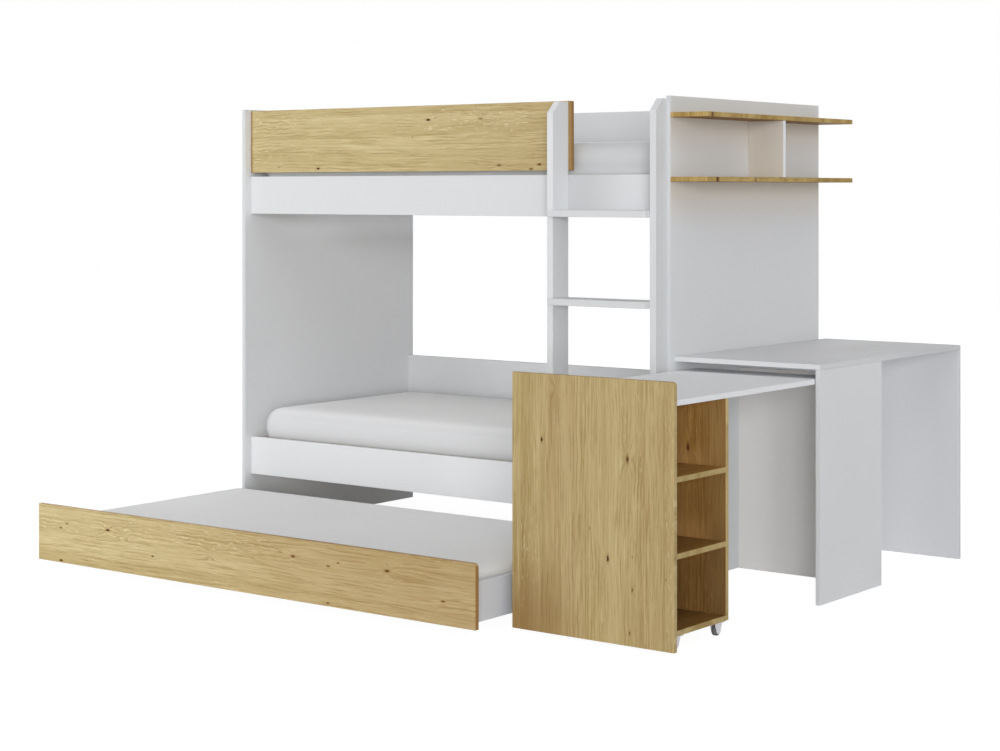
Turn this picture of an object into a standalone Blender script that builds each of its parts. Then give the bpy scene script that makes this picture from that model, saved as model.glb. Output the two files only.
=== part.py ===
# Bunk bed with a trundle and a pull-out desk, in metres, +Z up.
# X runs along the bed, Y from its open front to its back, Z up from the floor.
# Sizes are written in bed coordinates: x = 0 at the outer face of the left end panel,
# y = 0 at the front edge of the end panels, z = 0 on the floor. ORIGIN moves them to the
# middle of the object's footprint.

import math

import bmesh
import bpy
from mathutils import Vector

# Board stock and fits
BOARD = 0.016
ARRIS = 0.001
ARRIS_ANGLE = math.radians(30)
GAP = 0.0003
OVERRUN = 0.01
WELD = 0.0001
ROUND_STEPS = 5

# Bunk: mattresses, the room round them, and where the boards lie
MATTRESS_LENGTH = 1.900
MATTRESS_WIDTH = 0.900
MATTRESS_THICK = 0.146
MATTRESS_END_PLAY = 0.010
MATTRESS_SIDE_PLAY = 0.0173
BED_HEIGHT = 1.615
RAIL_INSET = 0.0314
BACK_INSET = 0.017
RAIL_HEIGHT = 0.143
BACK_BOARD_HEIGHT = 0.398
LOWER_RAIL_Z = 0.2085
GUARD_TOP_DROP = 0.005
MATTRESS_DROP = 0.037
GUARD_HEIGHT = 0.238
GUARD_SLOT = 0.0155
GUARD_OVERHANG = 0.012
GUARD_CORNER = 0.004

# Slat rolls and the battens that carry them
SLAT_WIDTH = 0.068
SLAT_THICK = 0.016
SLAT_PITCH = 0.142
SLAT_END_PLAY = 0.002
SLAT_ROLL_PLAY = 0.003
TAPE_WIDTH = 0.030
TAPE_THICK = 0.0015
TAPE_BITE = 0.0005
TAPE_INSET = 0.150
TAPE_END_INSET = 0.010
BATTEN_WIDTH = 0.022
BATTEN_HEIGHT = 0.032
BATTEN_END_PLAY = 0.004

# Soft form of a mattress
MATTRESS_CROWN = 0.006
MATTRESS_DRAW_IN = 0.005
MATTRESS_CORNER = 0.056
MATTRESS_CORNER_STEPS = 4
BUNK_MATTRESS_EDGE = 0.042
TRUNDLE_MATTRESS_EDGE = 0.028
MATTRESS_EDGE_STEPS = 4
MATTRESS_EDGE_ANGLE = math.radians(60)
MATTRESS_CUTS = (9, 5, 1)
ROUNDING_SHARE = 0.001

# Ladder
UPRIGHT_THICK = 0.024
UPRIGHT_REACH = 0.062
UPRIGHT_CHAMFER = 0.040
UPRIGHT_TOP_DROP = 0.009
UPRIGHT_FOOT_Z = 0.240
LADDER_CLEAR_WIDTH = 0.391
STEP_PITCH = 0.2984
STEP_THICK = 0.0225
STEP_NOSE = 0.026
TOP_STEP_RISE = 0.0007

# Shelves on the outer face of the right end panel
SHELF_DEPTH = 0.140
SHELF_CORNER = 0.006
SHELF_TOP_DROP = 0.055
SHELF_PITCH = 0.212
DIVIDER_Y = 0.503

# Fixed desk
DESK_WIDTH = 0.537
DESK_TOP_Z = 0.756
DESK_DEPTH = 1.038
DESK_FRONT_INSET = 0.027
LEG_DEPTH = 0.4245

# Mobile desk
MOBILE_PULL = 0.831
MOBILE_SLOT = 0.031
MOBILE_SIDE_PLAY = 0.005
MOBILE_TOP_LENGTH = 1.000
CABINET_DEPTH = 0.338
CABINET_SHELVES = 2
MOBILE_FRONT_LEFT_LAP = 0.014
MOBILE_FRONT_RIGHT_LAP = 0.014
MOBILE_FRONT_FOOT = 0.010
MOBILE_FRONT_RISE = 0.011
FRONT_CORNER = 0.012
FRONT_STOP = 0.0005

# Trundle
TRUNDLE_PULL = 1.0324
TRUNDLE_MATTRESS_LENGTH = 1.800
TRUNDLE_MATTRESS_THICK = 0.126
TRUNDLE_END_PLAY = 0.010
TRUNDLE_SIDE_PLAY = 0.0055
TRUNDLE_FRONT_PLAY = 0.003
TRUNDLE_FRONT_FOOT = 0.029
TRUNDLE_FRONT_HEIGHT = 0.193
TRUNDLE_SIDE_HEIGHT = 0.1175

# Castors
CASTOR_HEIGHT = 0.0405
WHEEL_RADIUS = 0.0165
WHEEL_WIDTH = 0.014
WHEEL_BORE = 0.0033
WHEEL_PLAY = 0.0012
WHEEL_STEPS = 24
WHEEL_SHOULDER = 0.003
HUB_DISH = 0.0015
HUB_RADIUS = 0.009
PIN_RADIUS = 0.003
PIN_STEPS = 12
CHEEK_THICK = 0.002
CHEEK_RADIUS = 0.011
CHEEK_TOP = 0.040
CHEEK_STEPS = 8
PLATE_LENGTH = 0.050
PLATE_WIDTH = 0.034
PLATE_THICK = 0.0025
TRUNDLE_CASTOR_SIDE_INSET = 0.100
TRUNDLE_CASTOR_FRONT_INSET = 0.100
TRUNDLE_CASTOR_BACK_INSET = 0.100
CABINET_CASTOR_SIDE_INSET = 0.018
CABINET_CASTOR_FRONT_INSET = 0.0675
CABINET_CASTOR_BACK_INSET = 0.0425

# Planes shared by the pieces
INNER_X0 = BOARD
INNER_X1 = INNER_X0 + MATTRESS_LENGTH + 2 * MATTRESS_END_PLAY
BED_X1 = INNER_X1 + BOARD
RAIL_Y0 = RAIL_INSET
RAIL_Y1 = RAIL_Y0 + BOARD
BACK_Y0 = RAIL_Y1 + MATTRESS_WIDTH + 2 * MATTRESS_SIDE_PLAY
BACK_Y1 = BACK_Y0 + BOARD
BED_Y1 = BACK_Y1 + BACK_INSET
UPPER_RAIL_Z = BED_HEIGHT - GUARD_TOP_DROP - GUARD_HEIGHT - GUARD_SLOT - RAIL_HEIGHT
TOP_STEP_Z = UPPER_RAIL_Z + TOP_STEP_RISE
STEP_COUNT = int((TOP_STEP_Z - UPRIGHT_FOOT_Z) / STEP_PITCH) + 1
LOWER_SHELF_Z = BED_HEIGHT - SHELF_TOP_DROP - BOARD - SHELF_PITCH
DESK_X1 = BED_X1 + DESK_WIDTH
DESK_Y0 = DESK_FRONT_INSET
DESK_Y1 = DESK_Y0 + DESK_DEPTH
LEG_Y1 = DESK_Y0 + LEG_DEPTH
DESK_UNDER = DESK_TOP_Z - BOARD
MOBILE_TOP_Z = DESK_UNDER - MOBILE_SLOT
MOBILE_UNDER = MOBILE_TOP_Z - BOARD
MOBILE_X0 = BED_X1 + MOBILE_SIDE_PLAY
MOBILE_X1 = DESK_X1 - BOARD - MOBILE_SIDE_PLAY
MOBILE_FRONT_X0 = BED_X1 - MOBILE_FRONT_LEFT_LAP
MOBILE_FRONT_X1 = DESK_X1 + MOBILE_FRONT_RIGHT_LAP
MOBILE_FRONT_Y1 = -FRONT_STOP - MOBILE_PULL
MOBILE_FRONT_Y0 = MOBILE_FRONT_Y1 - BOARD
CABINET_Y1 = MOBILE_FRONT_Y1 + CABINET_DEPTH
TRUNDLE_FRONT_Y1 = RAIL_Y0 - FRONT_STOP - TRUNDLE_PULL
TRUNDLE_FRONT_Y0 = TRUNDLE_FRONT_Y1 - BOARD
TRUNDLE_MID_X = (INNER_X0 + INNER_X1) / 2
TRUNDLE_BOX_LENGTH = TRUNDLE_MATTRESS_LENGTH + 2 * (TRUNDLE_END_PLAY + BOARD)
TRUNDLE_BOX_X0 = TRUNDLE_MID_X - TRUNDLE_BOX_LENGTH / 2
TRUNDLE_BOX_X1 = TRUNDLE_MID_X + TRUNDLE_BOX_LENGTH / 2
TRUNDLE_BOX_Y1 = TRUNDLE_FRONT_Y1 + MATTRESS_WIDTH + 2 * TRUNDLE_SIDE_PLAY + BOARD
ORIGIN = Vector((MOBILE_FRONT_X1 / 2, (TRUNDLE_FRONT_Y0 + DESK_Y1) / 2, 0))


def clear_scene():
    for obj in list(bpy.data.objects):
        bpy.data.objects.remove(obj, do_unlink=True)


def new_collection(name):
    collection = bpy.data.collections.new(name)
    bpy.context.scene.collection.children.link(collection)
    return collection


def new_material(name, colour, roughness, metallic=0):
    material = bpy.data.materials.new(name)
    material.use_nodes = True
    shader = material.node_tree.nodes["Principled BSDF"]
    shader.inputs["Base Color"].default_value = (*colour, 1)
    shader.inputs["Roughness"].default_value = roughness
    shader.inputs["Metallic"].default_value = metallic
    material.diffuse_color = (*colour, 1)
    return material


clear_scene()
PARTS = new_collection("bunk_bed_with_trundle")
CUTTERS = new_collection("cutters")
WHITE = new_material("white_laminate", (0.80, 0.81, 0.83), 0.45)
OAK = new_material("light_oak", (0.55, 0.40, 0.22), 0.50)
BEECH = new_material("slat_wood", (0.62, 0.47, 0.30), 0.60)
SHEET = new_material("mattress_fabric", (0.78, 0.78, 0.80), 0.90)
CASTOR_GREY = new_material("castor_plastic", (0.72, 0.72, 0.74), 0.40)
TREAD = new_material("castor_tread", (0.09, 0.09, 0.10), 0.60)


# Helpers

def new_empty(name, place, parent=None):
    empty = bpy.data.objects.new(name, None)
    empty.location = place
    empty.parent = parent
    PARTS.objects.link(empty)
    return empty


def place_in_bed(obj, centre, parent):
    # Bed coordinates: the frame's empty stands at -ORIGIN, the others are set in its space.
    obj.parent = parent
    offset = Vector((0, 0, 0)) if parent == FRAME else parent.location
    obj.location = Vector(centre) - offset


def centred_box(size):
    bm = bmesh.new()
    bmesh.ops.create_cube(bm, size=1)
    bmesh.ops.scale(bm, vec=size, verts=bm.verts)
    return bm


def runs_along(edge, axis):
    start, end = edge.verts
    return abs(end.co[axis] - start.co[axis]) > edge.calc_length() / 2


def edges_along(bm, axis, sides):
    # Edges parallel to an axis, at the given signs of the two other axes.
    first, second = [i for i in range(3) if i != axis]
    found = []
    for edge in bm.edges:
        start = edge.verts[0].co
        signs = [(start[first] > 0) == (a > 0) and (start[second] > 0) == (b > 0) for a, b in sides]
        if runs_along(edge, axis) and any(signs):
            found.append(edge)
    return found


def finish_mesh(bm, name):
    mesh = bpy.data.meshes.new(name)
    bm.to_mesh(mesh)
    bm.free()
    mesh.shade_smooth()
    mesh.set_sharp_from_angle(angle=ARRIS_ANGLE)
    return mesh


def ease_edges(obj, width, steps=1):
    bevel = obj.modifiers.new("eased_edges", "BEVEL")
    bevel.width = width
    bevel.segments = steps
    bevel.limit_method = "ANGLE"
    bevel.angle_limit = ARRIS_ANGLE
    bevel.harden_normals = True


def board(name, xs, ys, zs, material, parent, corners=None):
    # A board between pairs of planes. corners is (axis, sides, radius, steps): the edges
    # along that axis, at those sides, are rounded, or cut flat with one step.
    spans = (xs, ys, zs)
    size = Vector([high - low for low, high in spans])
    centre = Vector([(high + low) / 2 for low, high in spans])
    bm = centred_box(size)
    if corners:
        axis, sides, radius, steps = corners
        edges = edges_along(bm, axis, sides)
        bmesh.ops.bevel(bm, geom=edges, offset=radius, offset_type="OFFSET",
                        segments=steps, profile=0.5, affect="EDGES")
    obj = bpy.data.objects.new(name, finish_mesh(bm, name))
    obj.data.materials.append(material)
    PARTS.objects.link(obj)
    place_in_bed(obj, centre, parent)
    ease_edges(obj, ARRIS)
    return obj


def cutter_box(name, centre, size):
    obj = bpy.data.objects.new(name, finish_mesh(centred_box(size), name))
    obj.location = centre
    obj.hide_render = True
    obj.display_type = "WIRE"
    CUTTERS.objects.link(obj)
    return obj


def join_or_cut(obj, tool, operation):
    boolean = obj.modifiers.new(operation.lower(), "BOOLEAN")
    boolean.operation = operation
    boolean.solver = "EXACT"
    boolean.object = tool


def evaluated_mesh(obj, name):
    bpy.context.view_layer.update()
    graph = bpy.context.evaluated_depsgraph_get()
    mesh = bpy.data.meshes.new_from_object(obj.evaluated_get(graph))
    mesh.name = name
    return mesh


FRAME = new_empty("bed_frame", -ORIGIN)
MOBILE = new_empty("mobile_desk", ((MOBILE_X0 + MOBILE_X1) / 2, MOBILE_FRONT_Y1, 0), FRAME)
TRUNDLE = new_empty("trundle", (TRUNDLE_MID_X, TRUNDLE_FRONT_Y1, 0), FRAME)


# End panels, rails, guard and back boards

def build_bunk_boards():
    depth = (0, BED_Y1)
    height = (0, BED_HEIGHT)
    board("left_end_panel", (0, INNER_X0), depth, height, WHITE, FRAME)
    board("right_end_panel", (INNER_X1, BED_X1), depth, height, WHITE, FRAME)
    length = (INNER_X0 + GAP, INNER_X1 - GAP)
    front = (RAIL_Y0, RAIL_Y1)
    back = (BACK_Y0, BACK_Y1)
    for level, base in (("lower", LOWER_RAIL_Z), ("upper", UPPER_RAIL_Z)):
        board(f"{level}_front_rail", length, front, (base, base + RAIL_HEIGHT), WHITE, FRAME)
        back_name = "lower_back_panel" if level == "lower" else "upper_back_board"
        board(back_name, length, back, (base, base + BACK_BOARD_HEIGHT), WHITE, FRAME)
    guard_z = UPPER_RAIL_Z + RAIL_HEIGHT + GUARD_SLOT
    guard_end = LEFT_UPRIGHT_X + UPRIGHT_THICK + GUARD_OVERHANG
    board("front_guard_rail", (INNER_X0 + GAP, guard_end), front, (guard_z, guard_z + GUARD_HEIGHT),
          OAK, FRAME, (1, ((1, 1), (1, -1)), GUARD_CORNER, ROUND_STEPS))


# Slat rolls: cross slats on two webbing tapes, carried by battens on the rails

def slat_roll(name, x0, x1, y0, y1, top, parent):
    # The end slats stay at the ends: the pitch is the even one nearest to SLAT_PITCH.
    roll_length = x1 - x0 - 2 * SLAT_ROLL_PLAY
    spaces = round((roll_length - SLAT_WIDTH) / SLAT_PITCH)
    pitch = (roll_length - SLAT_WIDTH) / spaces
    slat_length = y1 - y0
    first_x = x0 + SLAT_ROLL_PLAY + SLAT_WIDTH / 2
    bm = centred_box((SLAT_WIDTH, slat_length, SLAT_THICK))
    roll = bpy.data.objects.new(name, finish_mesh(bm, name))
    roll.data.materials.append(BEECH)
    PARTS.objects.link(roll)
    place_in_bed(roll, (first_x, (y0 + y1) / 2, top - SLAT_THICK / 2), parent)
    array = roll.modifiers.new("slats", "ARRAY")
    array.count = spaces + 1
    array.use_relative_offset = False
    array.use_constant_offset = True
    array.constant_offset_displace = (pitch, 0, 0)
    tape_z = -SLAT_THICK / 2 - TAPE_THICK / 2 + TAPE_BITE
    for side in (-1, 1):
        tape_y = side * (slat_length / 2 - TAPE_INSET)
        tape_centre = (roll_length / 2 - SLAT_WIDTH / 2, tape_y, tape_z)
        tape = cutter_box(f"{name}_tape", tape_centre, (roll_length - 2 * TAPE_END_INSET, TAPE_WIDTH, TAPE_THICK))
        tape.parent = roll
        join_or_cut(roll, tape, "UNION")


def build_slats():
    length = (INNER_X0 + BATTEN_END_PLAY, INNER_X1 - BATTEN_END_PLAY)
    for level, base in (("lower", LOWER_RAIL_Z), ("upper", UPPER_RAIL_Z)):
        slat_top = base + RAIL_HEIGHT - MATTRESS_DROP
        batten_top = slat_top - SLAT_THICK - GAP
        height = (batten_top - BATTEN_HEIGHT, batten_top)
        front = (RAIL_Y1 + GAP, RAIL_Y1 + GAP + BATTEN_WIDTH)
        back = (BACK_Y0 - GAP - BATTEN_WIDTH, BACK_Y0 - GAP)
        board(f"{level}_front_slat_batten", length, front, height, BEECH, FRAME)
        board(f"{level}_back_slat_batten", length, back, height, BEECH, FRAME)
        slat_roll(f"{level}_slat_roll", INNER_X0, INNER_X1, RAIL_Y1 + SLAT_END_PLAY,
                  BACK_Y0 - SLAT_END_PLAY, slat_top, FRAME)


# Mattresses: a box grid with a crowned top and sides fullest at half height

def is_corner(edge, half):
    return all(abs(vert.co[i]) >= half[i] for vert in edge.verts for i in (0, 1))


def mattress(name, length, width, thick, edge_radius, centre_x, centre_y, base, parent):
    half = Vector((length / 2 - MATTRESS_DRAW_IN, width / 2 - MATTRESS_DRAW_IN, thick / 2))
    bm = centred_box(2 * half)
    for axis, cuts in enumerate(MATTRESS_CUTS):
        edges = [edge for edge in bm.edges if runs_along(edge, axis)]
        bmesh.ops.subdivide_edges(bm, edges=edges, cuts=cuts, use_grid_fill=True)
    for vert in bm.verts:
        across, along, level = (vert.co[i] / half[i] for i in range(3))
        fullness = MATTRESS_DRAW_IN * (1 - level ** 2)
        if level > 1 - ROUNDING_SHARE:
            vert.co.z += MATTRESS_CROWN * (1 - across ** 4) * (1 - along ** 4)
        vert.co.x += across * fullness
        vert.co.y += along * fullness
    corners = [edge for edge in bm.edges if is_corner(edge, half)]
    bmesh.ops.bevel(bm, geom=corners, offset=MATTRESS_CORNER, offset_type="OFFSET",
                    segments=MATTRESS_CORNER_STEPS, profile=0.5, affect="EDGES")
    obj = bpy.data.objects.new(name, finish_mesh(bm, name))
    obj.data.materials.append(SHEET)
    PARTS.objects.link(obj)
    place_in_bed(obj, (centre_x, centre_y, base + thick / 2), parent)
    bevel = obj.modifiers.new("rolled_edges", "BEVEL")
    bevel.width = edge_radius
    bevel.segments = MATTRESS_EDGE_STEPS
    bevel.limit_method = "ANGLE"
    bevel.angle_limit = MATTRESS_EDGE_ANGLE
    return obj


def build_bunk_mattresses():
    centre_y = (RAIL_Y1 + BACK_Y0) / 2
    for level, base in (("lower", LOWER_RAIL_Z), ("upper", UPPER_RAIL_Z)):
        slat_top = base + RAIL_HEIGHT - MATTRESS_DROP
        mattress(f"{level}_mattress", MATTRESS_LENGTH, MATTRESS_WIDTH, MATTRESS_THICK, BUNK_MATTRESS_EDGE,
                 (INNER_X0 + INNER_X1) / 2, centre_y, slat_top + GAP, FRAME)


# Ladder: two uprights in front of the rails, four steps between them

RIGHT_UPRIGHT_X = INNER_X1 - GAP - UPRIGHT_THICK
LEFT_UPRIGHT_X = RIGHT_UPRIGHT_X - LADDER_CLEAR_WIDTH - UPRIGHT_THICK


def build_ladder():
    depth = (-UPRIGHT_REACH, RAIL_Y0 - GAP)
    height = (UPRIGHT_FOOT_Z, BED_HEIGHT - UPRIGHT_TOP_DROP)
    chamfer = (0, ((-1, 1),), UPRIGHT_CHAMFER, 1)
    for side, x in (("left", LEFT_UPRIGHT_X), ("right", RIGHT_UPRIGHT_X)):
        board(f"ladder_{side}_upright", (x, x + UPRIGHT_THICK), depth, height, WHITE, FRAME, chamfer)
    width = (LEFT_UPRIGHT_X + UPRIGHT_THICK + GAP, RIGHT_UPRIGHT_X - GAP)
    tread = (-UPRIGHT_REACH - STEP_NOSE, RAIL_Y0 - GAP)
    for index in range(STEP_COUNT):
        z = TOP_STEP_Z - index * STEP_PITCH
        board(f"ladder_step_{index + 1}", width, tread, (z, z + STEP_THICK), WHITE, FRAME)


# Two oak shelves on the right end panel, with an upright board between them

def build_wall_shelves():
    reach = (BED_X1 + GAP, BED_X1 + GAP + SHELF_DEPTH)
    corners = (2, ((1, 1), (1, -1)), SHELF_CORNER, ROUND_STEPS)
    for index, name in enumerate(("lower_wall_shelf", "upper_wall_shelf")):
        z = LOWER_SHELF_Z + index * SHELF_PITCH
        board(name, reach, (0, BED_Y1), (z, z + BOARD), OAK, FRAME, corners)
    between = (LOWER_SHELF_Z + BOARD + GAP, LOWER_SHELF_Z + SHELF_PITCH - GAP)
    board("shelf_divider", reach, (DIVIDER_Y, DIVIDER_Y + BOARD), between, WHITE, FRAME)


# Fixed desk: top, side leg, back panel and a cross panel that the mobile top slides over

def build_fixed_desk():
    inner_x0 = BED_X1 + GAP
    leg_x0 = DESK_X1 - BOARD
    board("desk_top", (inner_x0, DESK_X1), (DESK_Y0, DESK_Y1), (DESK_UNDER, DESK_TOP_Z), WHITE, FRAME)
    height = (0, DESK_UNDER - GAP)
    board("desk_side_leg", (leg_x0, DESK_X1), (DESK_Y0, LEG_Y1), height, WHITE, FRAME)
    board("desk_back_panel", (inner_x0, DESK_X1), (DESK_Y1 - BOARD, DESK_Y1), height, WHITE, FRAME)
    mid_height = (0, MOBILE_UNDER - GAP)
    board("desk_mid_panel", (inner_x0, leg_x0 - GAP), (LEG_Y1 - BOARD, LEG_Y1), mid_height, WHITE, FRAME)


# Mobile desk: oak front, white top and an oak cabinet open to the right

def build_mobile_desk():
    width = (MOBILE_X0, MOBILE_X1)
    front_y = (MOBILE_FRONT_Y0, MOBILE_FRONT_Y1)
    front_z = (MOBILE_FRONT_FOOT, DESK_TOP_Z + MOBILE_FRONT_RISE)
    board("mobile_front_panel", (MOBILE_FRONT_X0, MOBILE_FRONT_X1), front_y, front_z, OAK, MOBILE,
          (1, ((1, 1),), FRONT_CORNER, ROUND_STEPS))
    top_y = (MOBILE_FRONT_Y1 + GAP, MOBILE_FRONT_Y1 + MOBILE_TOP_LENGTH)
    board("mobile_top", width, top_y, (MOBILE_UNDER, MOBILE_TOP_Z), WHITE, MOBILE)
    floor_top = CASTOR_HEIGHT + BOARD
    inside = (floor_top + GAP, MOBILE_UNDER - GAP)
    deep = (MOBILE_FRONT_Y1 + GAP, CABINET_Y1)
    ahead = (MOBILE_FRONT_Y1 + GAP, CABINET_Y1 - BOARD - GAP)
    board("cabinet_bottom", width, deep, (CASTOR_HEIGHT, floor_top), OAK, MOBILE)
    board("cabinet_back_board", width, (CABINET_Y1 - BOARD, CABINET_Y1), inside, OAK, MOBILE)
    board("cabinet_side_board", (MOBILE_X0, MOBILE_X0 + BOARD), ahead, inside, OAK, MOBILE)
    bay = (MOBILE_UNDER - floor_top - CABINET_SHELVES * BOARD) / (CABINET_SHELVES + 1)
    for index in range(CABINET_SHELVES):
        z = floor_top + bay + index * (bay + BOARD)
        board(f"cabinet_shelf_{index + 1}", (MOBILE_X0 + BOARD + GAP, MOBILE_X1), ahead,
              (z, z + BOARD), OAK, MOBILE)


# Trundle: oak front, white box, base board and mattress

def build_trundle():
    front_x = (INNER_X0 + TRUNDLE_FRONT_PLAY, INNER_X1 - TRUNDLE_FRONT_PLAY)
    front_z = (TRUNDLE_FRONT_FOOT, TRUNDLE_FRONT_FOOT + TRUNDLE_FRONT_HEIGHT)
    board("trundle_front_panel", front_x, (TRUNDLE_FRONT_Y0, TRUNDLE_FRONT_Y1), front_z, OAK, TRUNDLE,
          (1, ((1, 1),), FRONT_CORNER, ROUND_STEPS))
    side_y = (TRUNDLE_FRONT_Y1 + GAP, TRUNDLE_BOX_Y1)
    side_z = (CASTOR_HEIGHT, CASTOR_HEIGHT + TRUNDLE_SIDE_HEIGHT)
    inner_x0 = TRUNDLE_BOX_X0 + BOARD
    inner_x1 = TRUNDLE_BOX_X1 - BOARD
    board("trundle_left_side", (TRUNDLE_BOX_X0, inner_x0), side_y, side_z, WHITE, TRUNDLE)
    board("trundle_right_side", (inner_x1, TRUNDLE_BOX_X1), side_y, side_z, WHITE, TRUNDLE)
    inner_x = (inner_x0 + GAP, inner_x1 - GAP)
    back_y0 = TRUNDLE_BOX_Y1 - BOARD
    board("trundle_back_board", inner_x, (back_y0, TRUNDLE_BOX_Y1), side_z, WHITE, TRUNDLE)
    base_top = CASTOR_HEIGHT + BOARD
    board("trundle_base_board", inner_x, (TRUNDLE_FRONT_Y1 + GAP, back_y0 - GAP),
          (CASTOR_HEIGHT, base_top), WHITE, TRUNDLE)
    mattress("trundle_mattress", TRUNDLE_MATTRESS_LENGTH, MATTRESS_WIDTH, TRUNDLE_MATTRESS_THICK,
             TRUNDLE_MATTRESS_EDGE, TRUNDLE_MID_X, (TRUNDLE_FRONT_Y1 + back_y0) / 2,
             base_top + GAP, TRUNDLE)


# Castors: a forked bracket with its pin, and a wheel turning on it

def cheek_outline():
    # Side view of the fork in (y, z): straight flanks down to half a turn round the pin.
    plate_under = CASTOR_HEIGHT - GAP - PLATE_THICK
    points = [(-CHEEK_TOP / 2, plate_under), (-CHEEK_RADIUS, WHEEL_RADIUS)]
    for index in range(1, CHEEK_STEPS):
        angle = math.pi * (1 + index / CHEEK_STEPS)
        points.append((CHEEK_RADIUS * math.cos(angle), WHEEL_RADIUS + CHEEK_RADIUS * math.sin(angle)))
    points += [(CHEEK_RADIUS, WHEEL_RADIUS), (CHEEK_TOP / 2, plate_under)]
    points += [(CHEEK_TOP / 2, plate_under + PLATE_THICK / 2), (-CHEEK_TOP / 2, plate_under + PLATE_THICK / 2)]
    return points


def bracket_mesh():
    # Local origin on the wheel's axle. The outline is drawn flat and stood up to face X.
    slot = WHEEL_WIDTH + 2 * WHEEL_PLAY
    curve = bpy.data.curves.new("castor_cheek", "CURVE")
    curve.dimensions = "2D"
    curve.fill_mode = "BOTH"
    curve.extrude = slot / 2 + CHEEK_THICK
    spline = curve.splines.new("POLY")
    outline = cheek_outline()
    spline.points.add(len(outline) - 1)
    for point, (y, z) in zip(spline.points, outline):
        point.co = (y, z - WHEEL_RADIUS, 0, 1)
    spline.use_cyclic_u = True
    drawn = bpy.data.objects.new("castor_cheek", curve)
    CUTTERS.objects.link(drawn)
    bm = bmesh.new()
    flat = evaluated_mesh(drawn, "castor_cheek")
    bm.from_mesh(flat)
    bpy.data.objects.remove(drawn)
    bmesh.ops.remove_doubles(bm, verts=bm.verts, dist=WELD)
    for vert in bm.verts:
        vert.co = (vert.co.z, vert.co.x, vert.co.y)
    bmesh.ops.recalc_face_normals(bm, faces=bm.faces)
    fork = bpy.data.objects.new("castor_fork", finish_mesh(bm, "castor_fork"))
    CUTTERS.objects.link(fork)
    plate_z = CASTOR_HEIGHT - GAP - PLATE_THICK / 2 - WHEEL_RADIUS
    slot_top = plate_z - PLATE_THICK / 2
    slot_foot = -CHEEK_RADIUS - OVERRUN
    slot_size = (slot, CHEEK_TOP + OVERRUN, slot_top - slot_foot)
    tools = [cutter_box("castor_slot", (0, 0, (slot_top + slot_foot) / 2), slot_size),
             cutter_box("castor_plate", (0, 0, plate_z), (PLATE_WIDTH, PLATE_LENGTH, PLATE_THICK))]
    join_or_cut(fork, tools[0], "DIFFERENCE")
    join_or_cut(fork, tools[1], "UNION")
    bm = bmesh.new()
    bmesh.ops.create_cone(bm, cap_ends=True, segments=PIN_STEPS, radius1=PIN_RADIUS, radius2=PIN_RADIUS,
                          depth=slot + CHEEK_THICK)
    for vert in bm.verts:
        vert.co = (vert.co.z, vert.co.y, -vert.co.x)
    bmesh.ops.recalc_face_normals(bm, faces=bm.faces)
    pin = bpy.data.objects.new("castor_pin", finish_mesh(bm, "castor_pin"))
    pin.hide_render = True
    pin.display_type = "WIRE"
    CUTTERS.objects.link(pin)
    tools.append(pin)
    join_or_cut(fork, pin, "UNION")
    mesh = evaluated_mesh(fork, "castor_bracket")
    for obj in [fork] + tools:
        bpy.data.objects.remove(obj)
    mesh.materials.append(CASTOR_GREY)
    mesh.shade_smooth()
    mesh.set_sharp_from_angle(angle=ARRIS_ANGLE)
    return mesh


def wheel_profile():
    # Half section of the wheel in (x, radius): bore, dished hub, tread with rounded shoulders.
    half = WHEEL_WIDTH / 2
    hub_half = half - HUB_DISH
    right = [(hub_half, WHEEL_BORE), (hub_half, HUB_RADIUS), (half, HUB_RADIUS + HUB_DISH),
             (half, WHEEL_RADIUS - WHEEL_SHOULDER)]
    for index in (1, 2):
        angle = index * math.pi / 4
        right.append((half - WHEEL_SHOULDER * (1 - math.cos(angle)),
                      WHEEL_RADIUS - WHEEL_SHOULDER * (1 - math.sin(angle))))
    return right + [(-x, radius) for x, radius in reversed(right)]


def wheel_mesh():
    bm = bmesh.new()
    verts = [bm.verts.new((x, 0, -radius)) for x, radius in wheel_profile()]
    for index, vert in enumerate(verts):
        bm.edges.new((vert, verts[(index + 1) % len(verts)]))
    profile = bpy.data.objects.new("wheel_profile", finish_mesh(bm, "wheel_profile"))
    CUTTERS.objects.link(profile)
    screw = profile.modifiers.new("turned", "SCREW")
    screw.axis = "X"
    screw.steps = WHEEL_STEPS
    screw.render_steps = WHEEL_STEPS
    screw.use_merge_vertices = True
    screw.merge_threshold = WELD
    mesh = evaluated_mesh(profile, "castor_wheel")
    bpy.data.objects.remove(profile)
    bm = bmesh.new()
    bm.from_mesh(mesh)
    bmesh.ops.recalc_face_normals(bm, faces=bm.faces)
    bm.to_mesh(mesh)
    bm.free()
    mesh.materials.append(TREAD)
    mesh.shade_smooth()
    mesh.set_sharp_from_angle(angle=ARRIS_ANGLE)
    return mesh


def castor_set(prefix, xs, ys, parent):
    for depth_name, y in zip(("front", "back"), ys):
        for side_name, x in zip(("left", "right"), xs):
            place = f"{depth_name}_{side_name}"
            for kind, mesh in (("castor", BRACKET), ("wheel", WHEEL)):
                obj = bpy.data.objects.new(f"{prefix}_{kind}_{place}", mesh)
                PARTS.objects.link(obj)
                place_in_bed(obj, (x, y, WHEEL_RADIUS), parent)


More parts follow.
